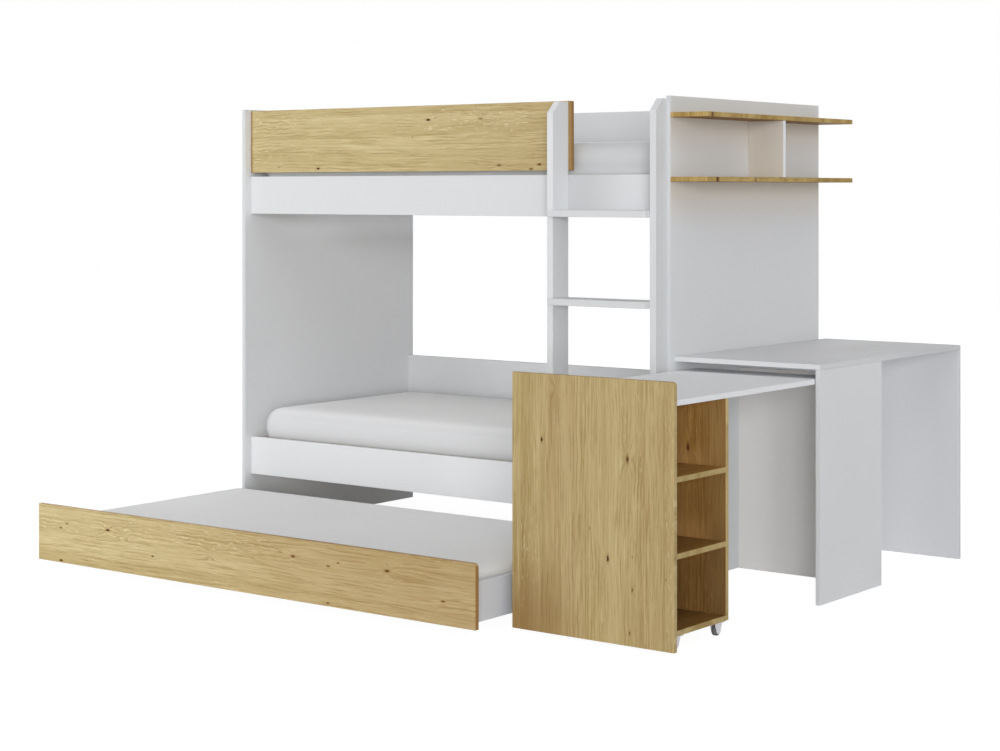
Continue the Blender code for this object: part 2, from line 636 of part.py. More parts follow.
def build_castors():
    castor_set("mobile", (MOBILE_X0 + CABINET_CASTOR_SIDE_INSET, MOBILE_X1 - CABINET_CASTOR_SIDE_INSET),
               (MOBILE_FRONT_Y1 + CABINET_CASTOR_FRONT_INSET, CABINET_Y1 - CABINET_CASTOR_BACK_INSET), MOBILE)
    castor_set("trundle",
               (TRUNDLE_BOX_X0 + TRUNDLE_CASTOR_SIDE_INSET, TRUNDLE_BOX_X1 - TRUNDLE_CASTOR_SIDE_INSET),
               (TRUNDLE_FRONT_Y1 + TRUNDLE_CASTOR_FRONT_INSET, TRUNDLE_BOX_Y1 - TRUNDLE_CASTOR_BACK_INSET),
               TRUNDLE)


BRACKET = bracket_mesh()
WHEEL = wheel_mesh()
build_bunk_boards()
build_slats()
build_bunk_mattresses()
build_ladder()
build_wall_shelves()
build_fixed_desk()
build_mobile_desk()
build_trundle()
build_castors()
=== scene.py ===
import math
import bpy
import numpy as np
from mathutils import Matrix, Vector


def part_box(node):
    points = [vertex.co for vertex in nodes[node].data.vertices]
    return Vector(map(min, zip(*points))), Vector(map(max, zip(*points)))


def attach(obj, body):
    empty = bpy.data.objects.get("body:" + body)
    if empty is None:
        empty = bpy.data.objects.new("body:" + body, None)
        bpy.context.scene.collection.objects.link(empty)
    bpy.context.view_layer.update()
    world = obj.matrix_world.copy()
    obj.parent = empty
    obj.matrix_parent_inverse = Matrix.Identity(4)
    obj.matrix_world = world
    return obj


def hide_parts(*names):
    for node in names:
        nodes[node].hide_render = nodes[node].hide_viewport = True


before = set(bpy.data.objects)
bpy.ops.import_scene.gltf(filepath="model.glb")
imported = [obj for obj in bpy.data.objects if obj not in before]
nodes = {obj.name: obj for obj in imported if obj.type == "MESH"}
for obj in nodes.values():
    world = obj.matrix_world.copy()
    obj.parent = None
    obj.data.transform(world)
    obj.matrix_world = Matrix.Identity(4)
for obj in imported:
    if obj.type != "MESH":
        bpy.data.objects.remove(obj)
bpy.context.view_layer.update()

print("frame loaded:", len(nodes), "solids")


# node maths

class Number:
    # a number socket that can be added, multiplied and so on
    def __init__(self, wiring, socket):
        self.wiring, self.socket = wiring, socket

    def __add__(self, other): return self.wiring.sum("ADD", self, other)
    def __radd__(self, other): return self.wiring.sum("ADD", other, self)
    def __sub__(self, other): return self.wiring.sum("SUBTRACT", self, other)
    def __rsub__(self, other): return self.wiring.sum("SUBTRACT", other, self)
    def __mul__(self, other): return self.wiring.sum("MULTIPLY", self, other)
    def __rmul__(self, other): return self.wiring.sum("MULTIPLY", other, self)
    def __truediv__(self, other): return self.wiring.sum("DIVIDE", self, other)
    def __rtruediv__(self, other): return self.wiring.sum("DIVIDE", other, self)
    def __pow__(self, other): return self.wiring.sum("POWER", self, other)
    def __rpow__(self, other): return self.wiring.sum("POWER", other, self)


class Wiring:
    # the nodes of one material or of the sky
    def __init__(self, tree):
        self.tree = tree

    def node(self, kind, settings=None, sockets=None):
        made = self.tree.nodes.new(kind)
        for key, value in (settings or {}).items():
            setattr(made, key, value)
        for key, value in (sockets or {}).items():
            self.feed(made.inputs[key], value)
        return made

    def feed(self, socket, value):
        value = value.socket if isinstance(value, Number) else value
        if isinstance(value, bpy.types.NodeSocket):
            self.tree.links.new(value, socket)
        else:
            socket.default_value = value

    def sum(self, operation, *values):
        made = self.node("ShaderNodeMath", {"operation": operation}, dict(enumerate(values)))
        return Number(self, made.outputs[0])

    def axes(self):
        place = self.node("ShaderNodeTexCoord").outputs["Object"]
        split = self.node("ShaderNodeSeparateXYZ", {}, {0: place})
        return {axis: Number(self, split.outputs[i]) for i, axis in enumerate("xyz")}

    def noise(self, x, y, z=0.0, detail=2.0, rough=0.5):
        place = self.node("ShaderNodeCombineXYZ", {}, {0: x, 1: y, 2: z}).outputs[0]
        made = self.node("ShaderNodeTexNoise", {},
                         {"Vector": place, "Scale": 1.0, "Detail": detail, "Roughness": rough})
        return Number(self, made.outputs[0])

    def evenNoise(self, at, scale, detail=2.0):
        # the same scale along all three axes
        return self.noise(at["x"] * scale, at["y"] * scale, at["z"] * scale, detail)

    def step(self, value, low, high):
        # 0 below low, 1 above high, smooth between
        made = self.node("ShaderNodeMapRange", {"interpolation_type": "SMOOTHSTEP"},
                         {"Value": value, "From Min": low, "From Max": high})
        return Number(self, made.outputs[0])

    def zone(self, at, steps):
        # 1 where every step (axis, low, high) is 1
        share = None
        for axis, low, high in steps:
            part = self.step(at[axis], low, high)
            share = part if share is None else share * part
        return share

    def mix(self, share, first, second, how="MIX"):
        made = self.node("ShaderNodeMix", {"data_type": "RGBA", "blend_type": how, "clamp_factor": True},
                         {0: share, 6: first, 7: second})
        return made.outputs[2]

    def raySeen(self):
        # 1 for what the camera sees, straight or in a gloss
        path = self.node("ShaderNodeLightPath")
        rays = ("Is Camera Ray", "Is Glossy Ray", "Is Transmission Ray")
        camera, glossy, through = [Number(self, path.outputs[ray]) for ray in rays]
        return self.sum("MINIMUM", camera + glossy + through, 1.0)


class Paint(Wiring):
    # one material
    def __init__(self, name, roughness=0.5):
        self.material = bpy.data.materials.new(name)
        self.material.use_nodes = True
        super().__init__(self.material.node_tree)
        self.surface = self.tree.nodes["Principled BSDF"]
        self.surface.inputs["Roughness"].default_value = roughness

    def set(self, socket, value):
        self.feed(self.surface.inputs[socket], value)

    def relief(self, height, depth, strength):
        made = self.node("ShaderNodeBump", {}, {"Strength": strength, "Distance": depth, "Height": height})
        self.set("Normal", made.outputs[0])

    def wear(self, *names):
        for name in names:
            nodes[name].material_slots[0].material = self.material


def tone(red, green, blue):
    # screen colour, 0 to 255, as scene linear light
    share = np.array([red, green, blue]) / 255
    linear = np.where(share <= 0.04045, share / 12.92, ((share + 0.055) / 1.055) ** 2.4)
    return (*linear.tolist(), 1.0)


def grey(level):
    return (level, level, level, 1)


def edgeOf(node, axis, top):
    # where a board ends along one axis
    low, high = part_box(node)
    return getattr(high if top else low, axis)


# light oak

oakTones = {
    "pale": tone(216, 196, 145), "deep": tone(172, 147, 93), "line": tone(142, 112, 62),
    "dash": tone(133, 105, 62), "fleck": tone(232, 215, 170), "knot": tone(60, 26, 4),
    "ring": tone(138, 84, 30), "brownEdgeAndShade": tone(146, 104, 54),
    # painted shade for the faces inside the cabinet, darker towards the floor
    "insideShadeHigh": (0.80, 0.57, 0.37, 1), "insideShadeLow": (0.50, 0.345, 0.22, 1), "insideShadeHeights": (0.04, 0.64),
}
oakGrain = {
    "staveWidth": 0.072, "staveWaver": 0.006, "wander": 0.045, "curl": (0.011, 0.0025),
    # each kind of streak: waves per metre along and across the grain, then its noise
    "bands": (0.35, 13.0, 3.0, 0.55), "streaks": (4.5, 150.0, 4.0, 0.66), "threads": (13.0, 380.0, 2.0, 0.6),
    "fibres": (40.0, 900.0, 2.0, 0.6), "dashes": (24.0, 260.0, 1.0, 0.5), "flecks": (34.0, 200.0, 1.0, 0.5),
    "patches": (6.0, 22.0, 2.0, 0.5), "livelyZones": (2.4, 11.0, 2.0, 0.5),
    # growth lines: radians per metre, waver in radians, sharpness
    "growthLines": 520.0, "growthWaver": 26.0, "growthSharpness": 7.0,
    # how much of each goes into the tone; a pair is (more in lively or curly zones, everywhere)
    "bandShare": 0.80, "streakShare": (1.3, 0.45), "threadShare": (0.8, 0.25), "staveShare": 0.6,
    "lineShare": 0.46, "dashShare": 0.20, "fleckShare": (0.55, 0.08), "fibreShare": 0.5,
    "gloss": 0.10, "roughness": 0.45, "reliefDepth": 0.00025, "reliefStrength": 0.5,
}
knotForm = {
    # reach of a knot in radii along and across the grain, push on the grain, raggedness
    "along": 5.0, "across": 2.4, "push": 3.0, "ragged": 0.55,
    # squeeze of the dark core and of its brown halo (along, across), and the halo's share
    "core": (9.0, 7.5), "coreFade": 0.30, "halo": (1.6, 3.4), "haloShare": 0.9,
}


def oakPaint(name, grain, side, thick, shift, tint, knots=(), brownsAndShade=(), inside=None, contrast=1.0,
             zones=()):
    # staves: whole number of floor(across / width); each has its own slice of the noise and its own tone.
    # bent = side + slow wander + curl + push round each knot; every streak is a long thin noise in
    # (along, bent), dark lines are the crests of sin(bent), dashes and flecks are thresholded noise
    paint = Paint(name)
    at = paint.axes()
    along, across, deep = at[grain], at[side], at[thick]
    waver = paint.noise(along * 0.4, shift, 0.0) * oakGrain["staveWaver"]
    stave = paint.sum("FLOOR", (across + waver) / oakGrain["staveWidth"] + shift)
    cut = stave * 3.7 + shift
    wander = paint.noise(along * 0.9, across * 2.2, deep * 3.0 + cut, 2.0) - 0.5
    curl = paint.noise(along * 30.0, across * 30.0, cut, 2.0) - 0.5
    curly = paint.step(paint.noise(along * 1.1, across * 5.0, cut + 9.0, 1.0), 0.50, 0.64)
    ragged = paint.noise(along * 130.0, across * 210.0, shift, 1.0) - 0.5
    curlInZones, curlAnywhere = oakGrain["curl"]
    bent = across + wander * oakGrain["wander"] + curl * (curly * curlInZones + curlAnywhere)
    knotDark, knotRing = None, None
    for knotAlong, knotAcross, radius, swirl, depth in knots:
        run = (along - knotAlong) / (radius * knotForm["along"])
        gap = (across - knotAcross) / (radius * knotForm["across"])
        reach = paint.sum("EXPONENT", (run * run + gap * gap) * -1.0)
        bent = bent + gap * reach * (radius * knotForm["push"] * swirl)
        jagged = gap + ragged * knotForm["ragged"]
        coreRun, coreGap = knotForm["core"]
        haloRun, haloGap = knotForm["halo"]
        core = run * run * coreRun + jagged * jagged * coreGap
        core = paint.step(core, 1.0, knotForm["coreFade"]) * depth
        halo = run * run * haloRun + jagged * jagged * haloGap
        halo = paint.step(halo, 1.0, 0.0) * (knotForm["haloShare"] * min(swirl, 1.0) * depth)
        knotDark = core if knotDark is None else paint.sum("MAXIMUM", knotDark, core)
        knotRing = halo if knotRing is None else paint.sum("MAXIMUM", knotRing, halo)

    def streak(kind, seed):
        lengthwise, crosswise, detail, rough = oakGrain[kind]
        return paint.noise(along * lengthwise, bent * crosswise, seed, detail, rough)

    bands = streak("bands", cut + 3.0)
    streaks = streak("streaks", cut + 1.0)
    threads = streak("threads", cut + 6.0)
    fibres = streak("fibres", shift)
    growthWaver = paint.noise(along * 2.6, across * 8.0, cut + 5.0, 3.0) * oakGrain["growthWaver"]
    lines = paint.sum("SINE", bent * oakGrain["growthLines"] + growthWaver) * 0.5 + 0.5
    lines = lines ** oakGrain["growthSharpness"] * paint.step(streak("patches", cut + 7.0), 0.47, 0.60)
    dashes = paint.step(streak("dashes", cut + 2.0), 0.60, 0.74)
    flecks = paint.step(streak("flecks", cut + 4.0), 0.60, 0.74)
    staveTone = paint.noise(stave * 5.3, shift, 0.0, 0.0) - 0.5
    lively = paint.step(streak("livelyZones", cut + 11.0), 0.38, 0.66)

    def zonedShare(kind, where):
        inZones, anywhere = oakGrain[kind]
        return where * inZones + anywhere

    level = ((bands - 0.5) * oakGrain["bandShare"] + (streaks - 0.5) * zonedShare("streakShare", lively)
             + (threads - 0.5) * zonedShare("threadShare", lively)
             + staveTone * oakGrain["staveShare"]) * contrast + 0.5
    colour = paint.mix(paint.step(level, 0.08, 0.92), oakTones["deep"], oakTones["pale"])
    colour = paint.mix(lines * oakGrain["lineShare"], colour, oakTones["line"])
    colour = paint.mix(dashes * oakGrain["dashShare"], colour, oakTones["dash"])
    colour = paint.mix(flecks * zonedShare("fleckShare", curly), colour, oakTones["fleck"])
    colour = paint.mix((fibres - 0.5) * oakGrain["fibreShare"], colour, oakTones["dash"])
    if knots:
        colour = paint.mix(knotRing * (threads + 0.3), colour, oakTones["ring"])
        colour = paint.mix(knotDark, colour, oakTones["knot"])
    if inside:
        # painted shade on the face that looks into the cabinet, darker towards the floor
        shade = paint.mix(paint.step(at["z"], *oakTones["insideShadeHeights"]),
                          oakTones["insideShadeLow"], oakTones["insideShadeHigh"])
        colour = paint.mix(paint.zone(at, [inside]), colour, paint.mix(1.0, colour, shade, "MULTIPLY"))
    # brown zones: brown edge banding, and painted shade on ends, undersides and towards the right
    for steps, share in brownsAndShade:
        colour = paint.mix(paint.zone(at, steps) * share, colour, oakTones["brownEdgeAndShade"])
    colour = paint.mix(1.0, colour, tint, "MULTIPLY")
    # each zone is a tint for one part of the board, painted light and shade
    for steps, zoneTint in zones:
        colour = paint.mix(paint.zone(at, steps), colour, paint.mix(1.0, colour, zoneTint, "MULTIPLY"))
    paint.set("Base Color", colour)
    paint.set("Specular IOR Level", oakGrain["gloss"])
    paint.set("Roughness", oakGrain["roughness"] + fibres * 0.12 + dashes * 0.10)
    paint.relief(fibres * 0.4 + threads * 0.4 - dashes * 0.7, oakGrain["reliefDepth"],
                 oakGrain["reliefStrength"])
    return paint


def faceStep(node, axis, top, start=0.0008, full=0.0003):
    # a face of a board: nothing at start inside it, everything at full inside it
    edge = edgeOf(node, axis, top)
    inwards = -1 if top else 1
    return axis, edge + inwards * start, edge + inwards * full


def endOf(node, axis, share, top=True):
    # a board's end face, just inside its small arris, and how brown it is: brown edge banding, partly painted
    # shade
    return [faceStep(node, axis, top)], share


# each knot: place along and across the grain, radius, how far the grain swirls, how dark;
# each brown zone, brown edge banding and painted shade: its steps, and how brown
guardBoard = {
    "tint": (0.985, 1.03, 1.12, 1), "contrast": 0.75,
    "knots": [
        (-0.8847, 1.3855, 0.0045, 0.8, 1.0), (-1.0850, 1.3922, 0.0034, 0.7, 0.35),
        (-0.3509, 1.5580, 0.0050, 0.9, 1.0), (-0.1114, 1.5579, 0.0058, 0.8, 0.45),
        (-0.4244, 1.4961, 0.0026, 0.4, 0.5), (-0.0297, 1.3918, 0.0056, 0.9, 0.6),
        (0.1454, 1.3929, 0.0046, 0.9, 0.9), (0.1102, 1.3775, 0.0042, 0.8, 0.8),
        (-0.1070, 1.3871, 0.0040, 1.8, 0.0)],
    "brownsAndShade": [
        endOf("front_guard_rail", "x", 0.48),
        ([faceStep("front_guard_rail", "x", False, 0.0100, 0.0078)], 0.75),
        # painted shadow of the ladder's upright on the last centimetres of the guard
        ([faceStep("front_guard_rail", "x", True, 0.0190, 0.0120)], 0.7),
        # browner towards the right: painted shade, then the brown top face
        ([("x", -0.6, 0.28)], 0.12), endOf("front_guard_rail", "z", 0.5)],
}
oakPaint("oakGuard", "x", "z", "y", 11.0, **guardBoard).wear("front_guard_rail")

trundleFront = {
    "tint": (1.04, 1.08, 1.18, 1), "contrast": 0.9,
    "knots": [
        (-0.8816, 0.1629, 0.0050, 1.6, 1.0), (-1.0867, 0.1648, 0.0034, 1.0, 0.6),
        (-1.1181, 0.1486, 0.0030, 0.8, 0.8), (-1.1158, 0.0367, 0.0045, 0.8, 1.0),
        (-0.6647, 0.0990, 0.0032, 0.8, 0.8), (-0.0897, 0.1746, 0.0030, 1.4, 0.5),
        (-0.0362, 0.1677, 0.0050, 1.4, 0.8), (0.1095, 0.1528, 0.0034, 1.3, 0.9),
        (0.1504, 0.1665, 0.0030, 1.0, 0.8), (0.3463, 0.1641, 0.0050, 1.8, 1.0),
        (0.1095, 0.0395, 0.0036, 0.9, 0.9), (0.5612, 0.0989, 0.0036, 1.0, 1.0),
        (-0.8081, 0.1540, 0.0050, 2.2, 0.0), (-0.3989, 0.1366, 0.0060, 1.6, 0.0)],
    "brownsAndShade": [
        endOf("trundle_front_panel", "x", 0.8), endOf("trundle_front_panel", "z", 0.6),
        # browner towards the right: painted shade
        ([("x", -0.9, 0.6)], 0.34)],
}
oakPaint("oakTrundleFront", "x", "z", "y", 23.0, **trundleFront).wear("trundle_front_panel")

mobileFront = {
    # the darker tint is painted shade
    "tint": (0.865, 0.865, 0.88, 1),
    "knots": [
        (0.5745, 0.7943, 0.0040, 0.8, 1.0), (0.5395, 1.0955, 0.0060, 1.8, 0.75),
        (0.7249, 0.8490, 0.0060, 1.9, 0.0), (0.2510, 1.0282, 0.0055, 0.7, 1.0),
        (0.1708, 1.1113, 0.0036, 0.9, 0.6), (0.0470, 1.1025, 0.0034, 0.9, 0.6),
        (0.3319, 0.9661, 0.0026, 0.6, 0.4), (0.2635, 1.1120, 0.0026, 0.6, 0.4),
        (0.2130, 1.2245, 0.0024, 0.6, 0.4)],
    "brownsAndShade": [
        endOf("mobile_front_panel", "z", 0.5), ([("z", 0.30, 0.02), ("x", 1.00, 0.72)], 0.6),
        ([("x", 0.80, 0.83), ("x", 0.935, 0.905)], 0.2), ([("x", 1.10, 1.17)], 0.12)],
}
oakPaint("oakMobileFront", "z", "x", "y", 37.0, **mobileFront).wear("mobile_front_panel")

# the cabinet's boards take a painted shade on their faces inside the cabinet
cabinetBoard = {"tint": (0.92, 0.91, 0.88, 1)}
backFace = faceStep("cabinet_back_board", "y", False, 0.0006, 0.0001)
# painted shade towards the open side, painted light just above each shelf; a zone: its steps, and its tint
cabinetBack = {
    "knots": [(0.541, 1.086, 0.0068, 1.8, 0.65)], "inside": backFace,
    "zones": [
        ([backFace, ("x", 1.11, 1.19)], (0.80, 0.85, 0.97, 1)),
        ([backFace, ("z", 0.57, 0.50), ("z", 0.482, 0.488), ("x", 1.19, 1.12)], (1.20, 1.26, 1.45, 1)),
        ([backFace, ("z", 0.36, 0.29), ("z", 0.264, 0.270), ("x", 1.19, 1.12)], (1.40, 1.45, 1.70, 1))],
}
oakPaint("oakCabinetBack", "z", "x", "y", 41.0, **cabinetBoard, **cabinetBack).wear("cabinet_back_board")
oakPaint("oakCabinetSide", "z", "y", "x", 47.0,
         inside=faceStep("cabinet_side_board", "x", True, 0.0006, 0.0001), **cabinetBoard
         ).wear("cabinet_side_board")
oakPaint("oakCabinetShelves", "y", "x", "z", 53.0,
         inside=faceStep("cabinet_shelf_1", "x", True, 0.0009, 0.0014), **cabinetBoard
         ).wear("cabinet_shelf_1", "cabinet_shelf_2")
oakPaint("oakCabinetBottom", "y", "x", "z", 71.0,
         inside=faceStep("cabinet_bottom", "z", True, 0.0006, 0.0001), **cabinetBoard
         ).wear("cabinet_bottom")

# the wall shelves: a darker, browner tint, partly painted shade, and a painted shade on each underside
wallShelf = {"tint": (0.76, 0.68, 0.50, 1), "contrast": 1.9}
wallShelfUndersideShade = 0.85
oakPaint("oakUpperShelf", "y", "x", "z", 59.0, knots=[(0.0102, 0.8390, 0.0040, 0.9, 0.9)],
         brownsAndShade=[endOf("upper_wall_shelf", "z", wallShelfUndersideShade, top=False)], **wallShelf
         ).wear("upper_wall_shelf")
oakPaint("oakLowerShelf", "y", "x", "z", 67.0,
         knots=[(0.0432, 0.8395, 0.0040, 1.0, 1.0), (0.2903, 0.8390, 0.0050, 1.8, 0.4)],
         brownsAndShade=[endOf("lower_wall_shelf", "z", wallShelfUndersideShade, top=False)], **wallShelf
         ).wear("lower_wall_shelf")
print("oak boards done")


# white boards

whiteBoard = {
    "colour": tone(227, 228, 230), "shade": tone(222, 224, 226), "gloss": 0.12,
    "roughness": 0.65, "cloudRoughness": 0.08, "gritRoughness": 0.06,
    "cloudScale": 2.5, "gritScale": 900.0, "reliefDepth": 0.00004, "reliefStrength": 0.35,
}


def whitePaint(name, tint=(1, 1, 1, 1), zones=()):
    # fine orange-peel lacquer: small even bumps, colour off by about a hundredth in slow clouds;
    # each zone is a tint for one part of the board; the tint and the zones, where given, are painted light
    # and shade
    paint = Paint(name)
    at = paint.axes()
    clouds = paint.evenNoise(at, whiteBoard["cloudScale"], 3.0)
    grit = paint.evenNoise(at, whiteBoard["gritScale"])
    colour = paint.mix(clouds, whiteBoard["colour"], whiteBoard["shade"])
    colour = paint.mix(1.0, colour, tint, "MULTIPLY")
    for steps, zoneTint in zones:
        colour = paint.mix(paint.zone(at, steps), colour, paint.mix(1.0, colour, zoneTint, "MULTIPLY"))
    paint.set("Base Color", colour)
    paint.set("Roughness", whiteBoard["roughness"] + clouds * whiteBoard["cloudRoughness"]
              + grit * whiteBoard["gritRoughness"])
    paint.set("Specular IOR Level", whiteBoard["gloss"])
    paint.relief(grit, whiteBoard["reliefDepth"], whiteBoard["reliefStrength"])
    return paint


def shadedFrontEdge(node, level):
    # painted shade on the narrow front face of an upright board, its small arris too
    return [faceStep(node, "y", False, 0.0018, 0.0011)], grey(level)


# painted light and shade on each board that isn't the plain white: its tint, then the zones with a tint of
# their own
boardLightAndShadeTints = {
    # desk top darker and mobile top lighter: painted shade and painted light
    "desk_top": [grey(0.94), ([("y", 0.30, 0.80), ("x", 0.85, 1.05)], grey(0.89))],
    "mobile_top": [grey(1.15)],
    "ladder_right_upright": [grey(0.92)],
    "upper_back_board": [grey(0.90)],
    "trundle_right_side": [(0.87, 0.90, 0.97, 1)],
    # painted light in the recess under the mobile top, warm with the oak's bounce
    "desk_mid_panel": [(1.08, 1.05, 1.02, 1), ([("x", 0.84, 0.96)], grey(1.18))],
    "shelf_divider": [
        (1.08, 1.10, 1.12, 1), ([faceStep("shelf_divider", "y", False)], (0.75, 0.67, 0.575, 1))],
    "desk_back_panel": [
        (0.90, 0.90, 0.91, 1), ([faceStep("desk_back_panel", "y", False), ("x", 1.22, 0.98)], grey(1.17))],
    # painted shadow of the ladder's left upright on the upper rail
    "upper_front_rail": [grey(0.95), ([("x", 0.250, 0.262), ("x", 0.55, 0.33)], grey(0.80))],
    "lower_front_rail": [grey(1.06), ([("x", -0.40, -0.10)], grey(1.06))],
    # painted light where the right end panel shades the lower back panel
    "lower_back_panel": [
        grey(0.94), ([faceStep("lower_back_panel", "y", False), ("x", -1.05, -0.40)], (1.34, 1.35, 1.35, 1))],
}
for board, (tint, *zones) in boardLightAndShadeTints.items():
    whitePaint(board + "_white", tint, zones).wear(board)
# the steps' darker tint is painted shade
whitePaint("ladderStepWhite", grey(0.92)).wear(
    "ladder_step_1", "ladder_step_2", "ladder_step_3", "ladder_step_4")
# painted shade on the front face, painted light on the inner face under the upper rail
whitePaint("leftPanelWhite", grey(0.97), [
    shadedFrontEdge("left_end_panel", 0.93),
    ([faceStep("left_end_panel", "x", True, 0.0008, 0.0002), ("y", 0.10, 0.50), ("z", 1.09, 1.17),
      ("z", 1.25, 1.23)], (1.25, 1.26, 1.28, 1)),
]).wear("left_end_panel")
# painted shade on the leg's front face
whitePaint("deskLegWhite", zones=[shadedFrontEdge("desk_side_leg", 0.88)]).wear("desk_side_leg")

# painted light and shade on the right panel's outer face: lighter between the shelves, and a darker painted
# shade, warm with the oak's bounce, under each shelf
outerFace = faceStep("right_end_panel", "x", True, 0.0008, 0.0002)
underUpperShelf = faceStep("upper_wall_shelf", "z", False, 0.010, 0.004)
whitePaint("rightPanelWhite", zones=[
    shadedFrontEdge("right_end_panel", 0.85),
    ([outerFace, faceStep("lower_wall_shelf", "z", False, 0.004, 0.012), underUpperShelf],
     (1.035, 1.03, 1.03, 1)),
    ([outerFace, faceStep("upper_wall_shelf", "z", False, -0.15, -0.01), underUpperShelf],
     (0.908, 0.835, 0.738, 1)),
    ([outerFace, faceStep("lower_wall_shelf", "z", False, -0.17, 0.0),
      faceStep("lower_wall_shelf", "z", False, 0.010, 0.004)], (0.95, 0.88, 0.77, 1)),
]).wear("right_end_panel")
whitePaint("whiteLaminate").wear(
    "ladder_left_upright", "trundle_left_side", "trundle_back_board", "trundle_base_board")
print("white boards done")


# slats and their tapes

slatLook = {
    "thick": 0.016, "pale": tone(231, 208, 168), "deep": tone(205, 176, 132), "fibre": tone(182, 148, 100),
    "fibreShare": 0.25, "roughness": 0.62, "reliefDepth": 0.0003, "reliefStrength": 0.5,
    "tapePale": tone(226, 224, 219), "tapeShade": tone(196, 194, 188), "tapeRibs": (2600.0, 1900.0),
}


def slatPaint(name, undersideZ=None):
    # plain softwood: streaks along the slat; below undersideZ the woven tape shows
    paint = Paint(name, slatLook["roughness"])
    at = paint.axes()
    grain, side = (at["y"], at["x"]) if undersideZ else (at["x"], at["y"])
    streaks = paint.noise(grain * 1.2, side * 60.0, at["z"] * 40.0, 4.0, 0.6)
    fibres = paint.noise(grain * 9.0, side * 480.0, at["z"] * 90.0, 2.0)
    colour = paint.mix(paint.step(streaks, 0.32, 0.68), slatLook["deep"], slatLook["pale"])
    colour = paint.mix(fibres * slatLook["fibreShare"], colour, slatLook["fibre"])
    height = fibres
    if undersideZ:
        tape = paint.step(at["z"], undersideZ + 0.0001, undersideZ - 0.0001)
        lengthwise, crosswise = slatLook["tapeRibs"]
        ribs = paint.sum("SINE", at["x"] * lengthwise) * paint.sum("SINE", at["y"] * crosswise)
        cloth = paint.mix(ribs * 0.5 + 0.5, slatLook["tapeShade"], slatLook["tapePale"])
        colour = paint.mix(tape, colour, cloth)
        height = fibres * (1 - tape) + ribs * tape
    paint.set("Base Color", colour)
    paint.relief(height, slatLook["reliefDepth"], slatLook["reliefStrength"])
    return paint


for level in ("upper", "lower"):
    slatUnderside = edgeOf(f"{level}_slat_roll", "z", True) - slatLook["thick"]
    slatPaint(f"{level}SlatWood", slatUnderside).wear(f"{level}_slat_roll")
slatPaint("battenWood").wear("upper_front_slat_batten", "upper_back_slat_batten",
                             "lower_front_slat_batten", "lower_back_slat_batten")
print("slats done")


# mattresses

def boxGrid(half, cell):
    # the six faces of a box as grids, merged along their shared edges
    points, faces = [], []
    for axis in range(3):
        first, second = (axis + 1) % 3, (axis + 2) % 3
        a = np.linspace(-half[first], half[first], max(2, round(2 * half[first] / cell)) + 1)
        b = np.linspace(-half[second], half[second], max(2, round(2 * half[second] / cell)) + 1)
        for sign in (-1, 1):
            grid = np.empty((len(a), len(b), 3))
            grid[..., axis] = sign * half[axis]
            grid[..., first], grid[..., second] = np.meshgrid(a, b, indexing="ij")
            start = sum(len(p) for p in points)
            index = start + np.arange(len(a) * len(b)).reshape(len(a), len(b))
            corners = [index[:-1, :-1], index[1:, :-1], index[1:, 1:], index[:-1, 1:]]
            quads = np.stack(corners, -1).reshape(-1, 4)
            points.append(grid.reshape(-1, 3))
            faces.append(quads if sign > 0 else quads[:, ::-1])
    points, faces = np.concatenate(points), np.concatenate(faces)
    _, keep, place = np.unique(np.round(points, 6), axis=0, return_index=True, return_inverse=True)
    return points[keep], place.reshape(-1)[faces]


def meshOf(name, points, faces):
    mesh = bpy.data.meshes.new(name)
    mesh.from_pydata(points.tolist(), [], faces.tolist())
    mesh.update()
    mesh.shade_smooth()
    piece = bpy.data.objects.new(name, mesh)
    bpy.context.scene.collection.objects.link(piece)
    return piece


def readPoints(mesh):
    points = np.empty(len(mesh.vertices) * 3)
    mesh.vertices.foreach_get("co", points)
    return points.reshape(-1, 3)


def finishedMesh(piece):
    # the piece's mesh with its modifiers applied
    return bpy.data.meshes.new_from_object(piece.evaluated_get(bpy.context.evaluated_depsgraph_get()))


def paddedBlock(name, size, look):
    # core = clip(q, r - h, h - r); point = core + r * (q - core) / |q - core|, then the crown
    # (1 - (x/a)^4)(1 - (y/b)^4) on top and full sides (1 - (z/c)^2) all round
    half = np.array(size) / 2 - np.array([look["fullness"], look["fullness"], 0]) - look["slack"]
    points, faces = boxGrid(half, look["cell"])
    core = np.clip(points, look["edge"] - half, half - look["edge"])
    away = points - core
    points = core + look["edge"] * away / np.linalg.norm(away, axis=1, keepdims=True)
    share = points / half
    dome = (1 - share[:, 0] ** 4) * (1 - share[:, 1] ** 4)
    points[:, 2] += np.where(share[:, 2] > 0.2, look["crown"] * dome * (share[:, 2] - 0.2) / 0.8, 0)
    full = look["fullness"] * (1 - share[:, 2] ** 2)
    points[:, 0] += share[:, 0] * full
    points[:, 1] += share[:, 1] * full
    sag = np.sin(points[:, 0] * 5.1 + 0.7) * np.sin(points[:, 1] * 6.3 + 0.4)
    points[:, 2] += np.where(share[:, 2] > 0.5, look["unevenness"] * sag * dome, 0)
    return meshOf(name, points, faces)


